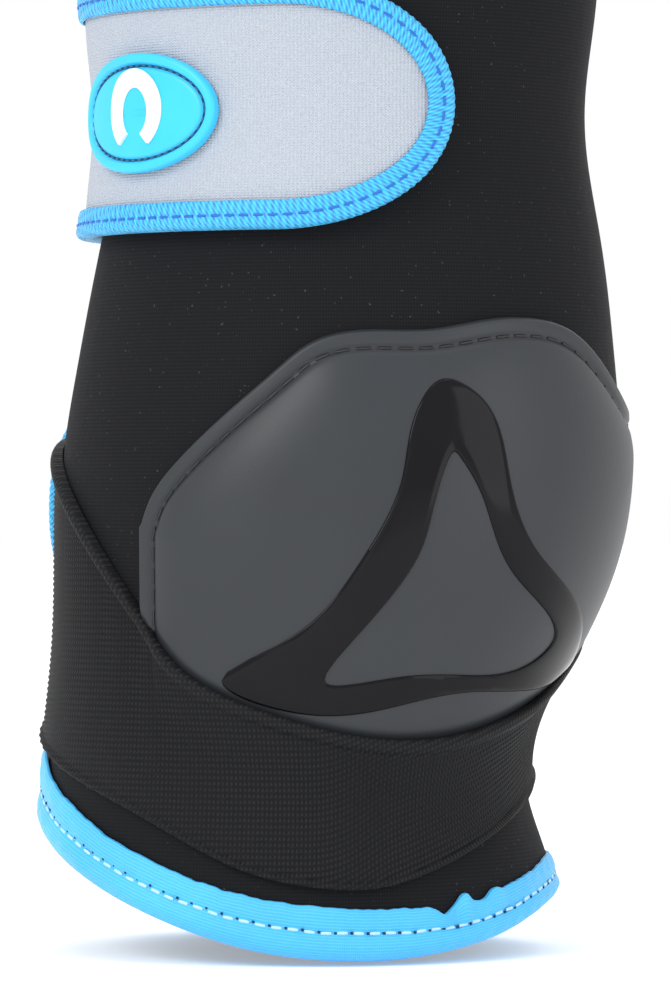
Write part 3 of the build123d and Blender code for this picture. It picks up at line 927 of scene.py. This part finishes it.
def make_strap(name, height):
    near = {"blend": bend_at("far_flap", f"{name}_strap", CLOSURE, height, 7.0)}
    peel = {"blend": bend_at(f"{name}_strap", f"{name}_strap_tab", STRAP_PEEL, height, 6.0)}
    tip = strap_tip(height)
    piece = strap_panel(f"{name}_strap_start", height, STRAP_ROOT, STRAP_SPLIT, False)
    finish_piece(piece, "strap_fabric", replaces=[f"{name}_strap_root"], **near)
    piece = strap_panel(f"{name}_strap_end", height, STRAP_SPLIT, tip, True)
    finish_piece(piece, "strap_fabric",
                 replaces=[f"{name}_strap", f"{name}_strap_tab"], **peel)
    turns = np.linspace(STRAP_ROOT, STRAP_SPLIT, 60)
    edges = {
        "start_tape_low": (np.stack([turns, 0 * turns + height - HALF_WIDTH], 1), near,
                           [f"{name}_strap_root_binding"]),
        "start_tape_high": (np.stack([turns[::-1], 0 * turns + height + HALF_WIDTH], 1), near, []),
        "end_tape": (strap_path(height, STRAP_SPLIT, tip), peel,
                     [f"{name}_strap_binding", f"{name}_strap_tab_binding"]),
    }
    for part, (path, where, nodes) in edges.items():
        piece = binding(f"{name}_strap_{part}", path, BIND_SECTION)
        finish_piece(piece, "strap_binding", replaces=nodes, **where)
        line_of_stitches(f"{name}_strap_{part}_thread", path, 2.45, 5.02, 2.7, 2.0, "deep_thread",
                         "strap_binding", where, 0.5, 0.34)
    low, high = height - 15.5, height + 15.5
    box = [(119, low), (131, low), (131, high), (119, high), (119, low)]
    for i, (a, b) in enumerate(zip(box, box[1:])):
        line = np.linspace(a, b, 40)
        line_of_stitches(f"{name}_strap_box_{i}", line, 0.0, 4.4, 3.0, 2.3, "pale_thread",
                         "strap_fabric", {"body": "far_flap"})
    hooks = strap_hooks(f"{name}_strap_hooks", height)
    finish_piece(hooks, "hook", replaces=[f"{name}_strap_hook_patch"], **peel)


def strap_hooks(name, height):
    """The hook patch under the end of a strap."""
    angles = np.linspace(250, 300, 501)
    places = surface(angles, height, 1.0)[:, 0]
    start, end = (float(np.interp(x, places, angles)) for x in (-12.6, 6.0))
    low, high = height - 13.4, height + 13.4
    return hook_patch(name, low, high, start, end, 1.25, 0.65, 60, 60)


# ------------ the badge

BADGE_PLACE = (218.0, 64.8)
BADGE_HALF = (17.7, 10.6)
# From the badge's edge inward: length in, and distance outward from the neoprene's face
BADGE_PROFILE = [(0.0, 4.95), (0.0, 6.1), (0.15, 6.5), (0.5, 6.75), (1.0, 6.85), (1.5, 6.78), (1.75, 6.6),
                 (1.85, 6.3), (2.05, 6.12), (2.35, 6.08), (2.6, 6.15), (2.75, 6.35), (2.95, 6.5),
                 (3.6, 6.58), (4.6, 6.64), (6.0, 6.7), (8.0, 6.74), (10.0, 6.76)]


def badge_ring(in_by, count=150):
    """A ring of (angle, height) inside the badge's edge."""
    turn = np.linspace(0, 2 * math.pi, count, endpoint=False)
    scale = float(per_degree(BADGE_PLACE[0], BADGE_PLACE[1], 6.0))
    along = np.maximum(BADGE_HALF[0] - in_by, 0.2) * np.cos(turn)
    rise = np.maximum(BADGE_HALF[1] - in_by, 0.2) * np.sin(turn)
    return np.stack([BADGE_PLACE[0] + along / scale, BADGE_PLACE[1] + rise], 1)


def make_badge():
    rings, coords = [], []
    for in_by, distance in BADGE_PROFILE:
        ring = badge_ring(in_by)
        rings.append(surface(ring[:, 0], ring[:, 1], distance))
        coords.append(ring * [DEGREE, 1.0])
    piece = sweep("badge_plate", np.array(rings), np.array(coords), sharp=50)
    finish_piece(piece, "badge", body="lower_strap", replaces=["badge"])
    # a dark tube along the badge's groove, painted shade in the groove, with the thread laid over it
    ring = badge_ring(2.25, 240)
    turn = np.linspace(0, 2 * math.pi, 8, endpoint=False)
    angle, height = inset(ring, (np.cos(turn) * 0.55 / 2)[None, :], True)
    rings = surface(angle, height, 6.1 + 0.12 * np.sin(turn))
    count = np.broadcast_to(np.arange(8.0), rings.shape[:2])
    finish_piece(sweep("badge_groove_shade", rings, weave_map(count, count), True), "painted_hole_shade", "badge",
                 body="lower_strap")
    closed = np.concatenate([ring, ring[:1]])
    piece = stitch_line("badge_thread", *closed.T, 6.22, 1.62, 1.05, 0.42, 0.4)
    finish_piece(piece, "deep_teal_thread", "badge", body="lower_strap")
    turn = np.radians(np.linspace(-56, 236, 61))
    scale = float(per_degree(*BADGE_PLACE, 6.8))
    path = np.stack([BADGE_PLACE[0] + 5.0 * np.cos(turn) / scale,
                     BADGE_PLACE[1] + 0.3 + 5.9 * np.sin(turn)], 1)
    half = 1.35
    section = np.array([(-half, 6.6), (-half, 7.1), (-half + 0.25, 7.3), (half - 0.25, 7.3),
                        (half, 7.1), (half, 6.6)])
    shape = section_points(section)
    swell = 1.0 + 0.12 * np.sin(turn)[:, None]
    angle, height = inset(path, shape[:, 0] * swell)
    rings = surface(angle, height, shape[:, 1])
    coords = weave_map(turn[:, None] * 5, shape[:, 0])
    finish_piece(sweep("badge_horseshoe", rings, coords), "emblem", body="lower_strap",
                 replaces=["badge_emblem"])


# ------------ the strike pad

PAD_TREE = node_tree("strike_pad")
PAD_START = float(edge_between(PAD_TREE, (236, -18), (214, -18))[0])
PAD_END = float(edge_between(PAD_TREE, (352, -10), (388, -10))[0])
PAD_UNDER = 4.0  # how far the pad runs on under the sling
PAD_ANGLES = np.linspace(PAD_START + 0.4, PAD_END - 0.4, 140)
pad_top = edge_curve(PAD_TREE, PAD_ANGLES, sling_top(PAD_ANGLES) + 5.0, 60)
PAD_DEGREES, PAD_LENGTHS = arc_table(-5.0, PAD_START - 4, PAD_END + 4)


def pad_length(angle):
    """How far round the boot a place on the pad lies."""
    return np.interp(angle, PAD_DEGREES, PAD_LENGTHS)


def pad_line():
    """The pad's outline from its front edge over the crest to its back edge."""
    left = np.linspace(float(sling_top(PAD_START)) - 12, float(pad_top(PAD_START)), 30)[:-1]
    right = np.linspace(float(pad_top(PAD_END)), float(sling_top(384)) - 12, 30)[1:]
    turns = np.linspace(PAD_START, PAD_END, 220)
    return np.concatenate([np.stack([np.full(29, PAD_START), left], 1),
                           np.stack([turns, pad_top(turns)], 1),
                           np.stack([np.full(29, PAD_END), right], 1)])


def pad_inside(angle, height):
    """How far inside the pad's outline each place lies."""
    line = pad_line()
    line = np.stack([pad_length(line[:, 0]), line[:, 1]], 1)
    flat = np.stack([pad_length(angle).ravel(), np.ravel(height)], 1)
    best = np.full(len(flat), 1e9)
    for a, b in zip(line[:-1], line[1:]):
        step = b - a
        share = np.clip((flat - a) @ step / (step @ step), 0, 1)
        best = np.minimum(best, np.hypot(*(flat - a - share[:, None] * step).T))
    return best.reshape(np.shape(angle))


def smoothstep(value, low, high):
    share = np.clip((value - low) / (high - low), 0, 1)
    return share * share * (3 - 2 * share)


def pad_face(angle, height):
    """How far outward the pad's face stands."""
    t = pad_inside(angle, height)
    rim = 0.25 + 1.65 * np.sqrt(np.clip(1 - (1 - np.clip(t / 0.9, 0, 1)) ** 2, 0, 1))
    groove = 0.75 * np.exp(-((t - 3.3) / 0.62) ** 2)
    dome = 2.4 * (1 - np.exp(-np.clip(t - 4.0, 0, 99) / 6.0)) * (1 - 0.45 * smoothstep(angle, 318, 352))
    above = height - sling_top(np.clip(angle, SLING_START, SLING_END - 2))
    under = 0.35 + 0.65 * smoothstep(above, -5.0, 2.5)
    return (rim - groove + dome) * under


def make_pad():
    first, length = float(pad_length(PAD_START)), float(pad_length(PAD_END) - pad_length(PAD_START))
    ends = np.concatenate([np.arange(0, 1.2, 0.15), np.arange(1.2, 8, 0.42)])
    marks = np.concatenate([ends, np.arange(8, length - 8, 1.0), length - ends[::-1]])
    angles = np.interp(marks + first, PAD_LENGTHS, PAD_DEGREES)
    top = pad_top(angles)
    low = sling_top(np.clip(angles, SLING_START, SLING_END - 2)) - PAD_UNDER
    down = np.concatenate([np.arange(0, 1.4, 0.16), np.arange(1.4, 14, 0.42)])
    span = top - low
    rest = np.linspace(0, 1, 60)[1:, None]
    limit = np.minimum(14.0, span * 0.6)
    drop = np.concatenate([down[:, None] / 14.0 * limit, limit + (span - limit) * rest])
    heights = top - drop
    grid = np.broadcast_to(angles, heights.shape)
    piece = layer("pad_shell", grid, heights, pad_face(grid, heights), 0.12, weave_map(marks, heights), 50)
    finish_piece(piece, "strike_pad", body="sleeve", replaces=["strike_pad"])
    angle, height = (v[:, 0] for v in inset(resampled(pad_line(), 0.7)[0], -3.35))
    deep = (pad_inside(angle, height) > 3.2) & (height > sling_top(np.clip(angle, SLING_START, 382)))
    angle, height = angle[deep], height[deep]
    piece = stitch_line("pad_thread", angle, height, pad_face(angle, height) + 0.12, 3.7, 2.9, 0.6, 0.5)
    finish_piece(piece, "black_thread", "strike_pad", body="sleeve")


FRAME_TREE = node_tree("strike_pad_frame")
FRAME_CENTRE = (293.8, -20.0)


def frame_edges(count=260):
    """The glossy frame's inner and outer outlines, found by rays from its middle."""
    scale = float(per_degree(*FRAME_CENTRE, 4.0))
    steps = np.arange(1.0, 48.0, 0.5)
    inner, outer = [], []
    for turn in np.linspace(0, 2 * math.pi, count, endpoint=False):
        aim = np.array([math.cos(turn) / scale, math.sin(turn)])
        places = [FRAME_CENTRE + aim * r for r in steps]
        hits = [i for i, p in enumerate(places) if present(FRAME_TREE, *p)]
        inner.append(edge_between(FRAME_TREE, places[hits[0]], places[hits[0] - 1]))
        outer.append(edge_between(FRAME_TREE, places[hits[-1]], places[hits[-1] + 1]))
    return np.array(inner), np.array(outer)


def make_frame():
    inner, outer = frame_edges()
    width = np.hypot((outer - inner)[:, 0] * DEGREE, (outer - inner)[:, 1])[:, None]
    rim = np.array([0.0, 0.0, 0.12, 0.35, 0.7])
    lift = np.array([-0.35, 0.05, 0.26, 0.37, 0.42])
    middle = np.array([0.2, 0.35, 0.5, 0.65, 0.8])
    share = np.concatenate([rim / width, np.broadcast_to(middle, (len(width), 5)),
                            1 - (rim / width)[:, ::-1]], axis=1)
    lift = np.concatenate([lift, 0.44 + 0.05 * (1 - (2 * middle - 1) ** 2), lift[::-1]])
    places = inner[:, None, :] + (outer - inner)[:, None, :] * share[:, :, None]
    angles, heights = places[..., 0], places[..., 1]
    rings = surface(angles, heights, pad_face(angles, heights) + lift)
    finish_piece(sweep("pad_frame", rings, places * [DEGREE, 1.0], True, 35), "gloss_frame", body="sleeve",
                 replaces=["strike_pad_frame"])


# ------------ the sling


def sling_climb(angle):
    """The sling's ribs lie level at the front and climb towards the back."""
    return 0.26 * np.clip(angle - 262.0, 0, 200) * smoothstep(angle, 262, 285)


def sling_shell(name, start, end, low, high, over_pad):
    angles = np.linspace(start, end, int((end - start) / 0.9))
    bottom, top = low(angles), high(angles)
    grid, heights = grid_between(angles, bottom, top, 170)
    level = heights - sling_climb(grid)
    from_top, from_low = top - heights, heights - bottom
    ribs = 0.13 * np.cos(2 * math.pi * level / 1.05) * smoothstep(from_top, 2.8, 3.8)
    bead = 1.1 * np.sqrt(np.clip(1 - ((from_top - 1.3) / 1.35) ** 2, 0, 1))
    foot = 0.55 * np.sqrt(np.clip(1 - ((from_low - 0.6) / 0.65) ** 2, 0, 1)) * (from_low < 1.3)
    lift = np.zeros(grid.shape)
    if over_pad:
        under = pad_face(angles, top - 0.5)
        fade = smoothstep(angles, 223, 231) * (1 - 0.75 * smoothstep(angles, 325, 356))
        fade = fade * (1 - smoothstep(angles, 362, 374))
        lift = np.clip(under + 0.1, 0, 9) * fade * np.exp(-(from_top / 9.5) ** 2)
    wave = 0.15 * noise(grid * DEGREE, heights, 16.0, 41)
    depth = 1.35 + ribs + bead + foot + lift + wave
    return layer(name, grid, heights, depth, 0.35 + lift, weave_map(grid * DEGREE, level), 70)


def make_sling():
    piece = sling_shell("near_sling", SLING_START - 1.5, 386.6, sling_low, sling_top, True)
    finish_piece(piece, "elastic", body="sleeve", replaces=["sling_near"])
    tree = node_tree("sling_far")
    angles = np.arange(31, 64.1, 1.5)
    middle = np.interp(angles, [27, 68], [-35.0, -32.0])
    low, high = (edge_curve(tree, angles, middle, outside) for outside in (-80, 20))
    piece = sling_shell("far_sling", 27.4, 67.6, low, high, False)
    finish_piece(piece, "elastic", blend=wrap_blend(), replaces=["sling_far"])


TAB_START, TAB_TIP = 68.3, 170.5
TAB_SECTION = [(n * 0.9, 1.85 + (d - 0.6) * 0.49) for n, d in BIND_SECTION]


def tab_middle(angle):
    """The height of the middle of the sling's strap, which climbs to the front."""
    place = surface(angle, -18.0, 3.0)[..., 0]
    return np.interp(place, [-56.0, 15.0], [-4.0, -32.0])


def tab_outline():
    """The strap's edges up to its round tip, as heights at each angle."""
    turn = np.linspace(0, 1, 90)
    angles = 69.5 + (TAB_TIP - 69.7) * np.sin(turn * math.pi / 2)
    middle = tab_middle(angles)
    middle = middle + (-4.2 - middle) * smoothstep(angles, TAB_TIP - 14, TAB_TIP - 8)
    half = 18.9 * np.sqrt(np.clip(1 - np.clip((angles - TAB_TIP + 22) / 22, 0, 1) ** 2, 0.003, 1))
    low, high = middle - half, middle + half
    return angles, smooth(low), smooth(high)


def make_tab():
    angles, low, high = tab_outline()
    where = {"blend": bend_at("far_flap", "sling_tab", 68.0, -32.0, 5.0)}
    path = np.concatenate([[(TAB_START, low[0])], np.stack([angles, low], 1),
                           [(TAB_TIP, (low[-1] + high[-1]) / 2)],
                           np.stack([angles, high], 1)[::-1], [(TAB_START, high[0])]])
    piece = binding("sling_tab_tape", path, TAB_SECTION)
    finish_piece(piece, "strap_binding", replaces=["sling_tab_binding"], **where)
    line_of_stitches("sling_tab_thread", path, 2.2, 4.02, 2.7, 2.0, "deep_thread", "strap_binding", where,
                     0.62, 0.4)
    turns = np.linspace(TAB_START, TAB_TIP - 2.2, 130)
    bottom, top = np.interp(turns, angles, low) + 1.5, np.interp(turns, angles, high) - 1.5
    grid, heights = grid_between(turns, bottom, top, 45)
    from_edge = np.minimum(heights - bottom, top - heights)
    crown = 3.25 + 0.35 * (1 - np.exp(-from_edge / 4.0))
    piece = layer("sling_tab_cloth", grid, heights, crown, 2.45, weave_map(grid * DEGREE, heights))
    finish_piece(piece, "strap_fabric", replaces=["sling_tab"], **where)
    piece = hook_patch("sling_tab_hooks", -14.0, 6.0, 150.0, 164.0, 2.45, 1.9, 30, 50)
    finish_piece(piece, "hook", replaces=["sling_tab_hook_patch"], **where)


# ------------ the camera and the studio


def make_stage():
    """A pale floor, soft lights and the camera."""
    floor_z = cad_low[2] / MM - 0.4
    points = [(x, y, floor_z) for x, y in ((-9000, -9000), (9000, -9000), (9000, 9000), (-9000, 9000))]
    faces = [(0, 1, 2, 3)]
    mesh = bpy.data.meshes.new("studio_floor")
    mesh.from_pydata([tuple(c * MM for c in p) for p in points], [], faces)
    mesh.materials.append(plain_material("studio_paper", (0.88, 0.88, 0.88), (0.92, 0.92, 0.92), 0.9,
                                         0.01, 200, Emission_Strength=0.25,
                                         Emission_Color=(1, 1, 1, 1)))
    floor = put_in_scene("studio_floor", mesh)

    bpy.context.scene.view_settings.view_transform = "Standard"
    world = bpy.data.worlds.new("studio")
    world.use_nodes = True
    world.node_tree.nodes["Background"].inputs["Color"].default_value = (1, 1, 1, 1)
    bpy.context.scene.world = world

    lamps = [
        ("key", (-520, -620, 520), 420, 420, 3.4),
        ("fill", (640, -520, 160), 360, 620, 1.0),
        ("front", (-60, -900, 60), 260, 700, 0.3),
        ("top", (0, -80, 900), 700, 500, 1.2),
        ("back", (150, 700, 420), 700, 500, 1.0),
    ]
    target = Vector((0, 0, 0))
    for name, place, width, height, power in lamps:
        lamp = bpy.data.lights.new(name, "AREA")
        lamp.shape = "RECTANGLE"
        lamp.size, lamp.size_y = width * MM, height * MM
        lamp.energy = power
        item = put_in_scene(name, lamp, place)
        item.rotation_euler = (target - item.location).to_track_quat("-Z", "Y").to_euler()

    view_height, distance = 181.8, 1000.0
    camera = bpy.data.cameras.new("camera")
    camera.sensor_width = 36.0
    camera.lens = camera.sensor_width * distance / view_height
    camera.clip_start, camera.clip_end = 0.05, 20.0
    item = put_in_scene("camera", camera, (-1.7, -distance, -3.6))
    item.rotation_euler = (math.pi / 2, 0, 0)
    bpy.context.scene.camera = item


make_stage()
make_sleeve()
make_tapes()
make_seam()
for strap, strap_height in STRAP_HEIGHTS.items():
    make_strap(strap, strap_height)
make_badge()
make_pad()
make_frame()
make_sling()
make_tab()
